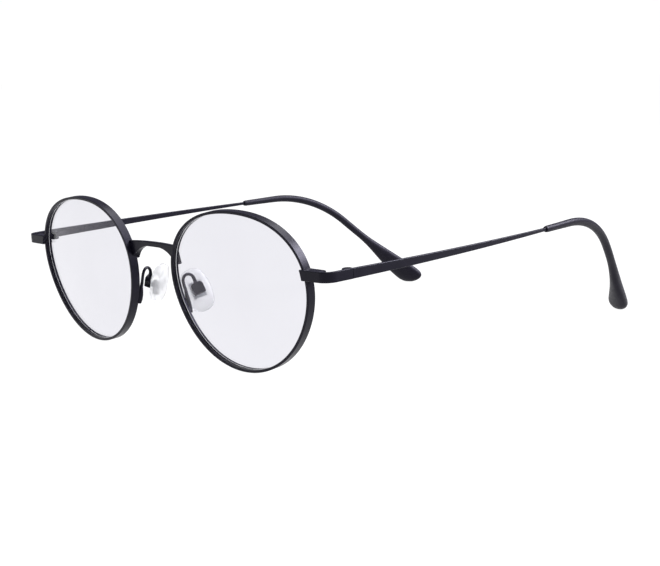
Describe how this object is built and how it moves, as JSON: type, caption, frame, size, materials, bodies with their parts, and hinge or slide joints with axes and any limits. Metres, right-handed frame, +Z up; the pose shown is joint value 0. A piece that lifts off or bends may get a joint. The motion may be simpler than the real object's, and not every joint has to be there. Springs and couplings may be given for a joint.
{
  "type": "eyeglasses",
  "caption": "Round full-rim wire eyeglasses with clear lenses, an arched bridge, sprung nose pads on looped arms, slim folding temples and curved plastic ear tips.",
  "frame": {"origin": "on the surface it rests on, below the middle of the bounding box", "axes": "+Z up, -Y out of the front of the lenses, +Y back along the temples, +X to the wearer's left"},
  "size_m": [0.1348, 0.1446, 0.0411],
  "materials": {
    "frame_metal": "satin black",
    "screw_metal": "darkened steel",
    "tip_plastic": "matte black",
    "silicone": "frosted translucent",
    "insert_plastic": "clear",
    "lens_glass": "clear with a very faint violet coating"
  },
  "bodies": {
    "front": {"rim_left": "frame_metal", "rim_right": "frame_metal", "lens_left": "lens_glass", "lens_right": "lens_glass", "bridge": "frame_metal", "end_piece_left": "frame_metal", "end_piece_right": "frame_metal", "rim_lock_upper_left": "frame_metal", "rim_lock_upper_right": "frame_metal", "rim_lock_lower_left": "frame_metal", "rim_lock_lower_right": "frame_metal", "rim_lock_screw_left": "screw_metal", "rim_lock_screw_right": "screw_metal", "hinge_front_left": "frame_metal", "hinge_front_right": "frame_metal", "hinge_screw_left": "screw_metal", "hinge_screw_right": "screw_metal", "pad_arm_left": "frame_metal", "pad_arm_right": "frame_metal", "pad_box_left": "frame_metal", "pad_box_right": "frame_metal", "pad_screw_left": "screw_metal", "pad_screw_right": "screw_metal"},
    "temple_left": {"temple_bar_left": "frame_metal", "temple_tip_left": "tip_plastic", "hinge_rear_left": "frame_metal"},
    "temple_right": {"temple_bar_right": "frame_metal", "temple_tip_right": "tip_plastic", "hinge_rear_right": "frame_metal"},
    "nose_pad_left": {"nose_pad_left": "silicone", "pad_insert_left": "insert_plastic"},
    "nose_pad_right": {"nose_pad_right": "silicone", "pad_insert_right": "insert_plastic"}
  },
  "joints": [
    {"name": "temple_left_hinge", "type": "hinge", "parent": "front", "child": "temple_left", "pos_m": [0.06437, -0.06024, 0.02154], "axis": [0, -0.0447, 0.999], "range_deg": [0, 84]},
    {"name": "temple_right_hinge", "type": "hinge", "parent": "front", "child": "temple_right", "pos_m": [-0.06437, -0.06024, 0.02154], "axis": [0, 0.0447, -0.999], "range_deg": [0, 80]},
    {"name": "nose_pad_left_rock", "type": "hinge", "parent": "front", "child": "nose_pad_left", "pos_m": [0.01098, -0.06402, 0.01885], "axis": [-0.4036, -0.8506, -0.3369], "range_deg": [-6, 6]},
    {"name": "nose_pad_right_rock", "type": "hinge", "parent": "front", "child": "nose_pad_right", "pos_m": [-0.01098, -0.06402, 0.01885], "axis": [-0.4036, 0.8506, 0.3369], "range_deg": [-6, 6]}
  ]
}
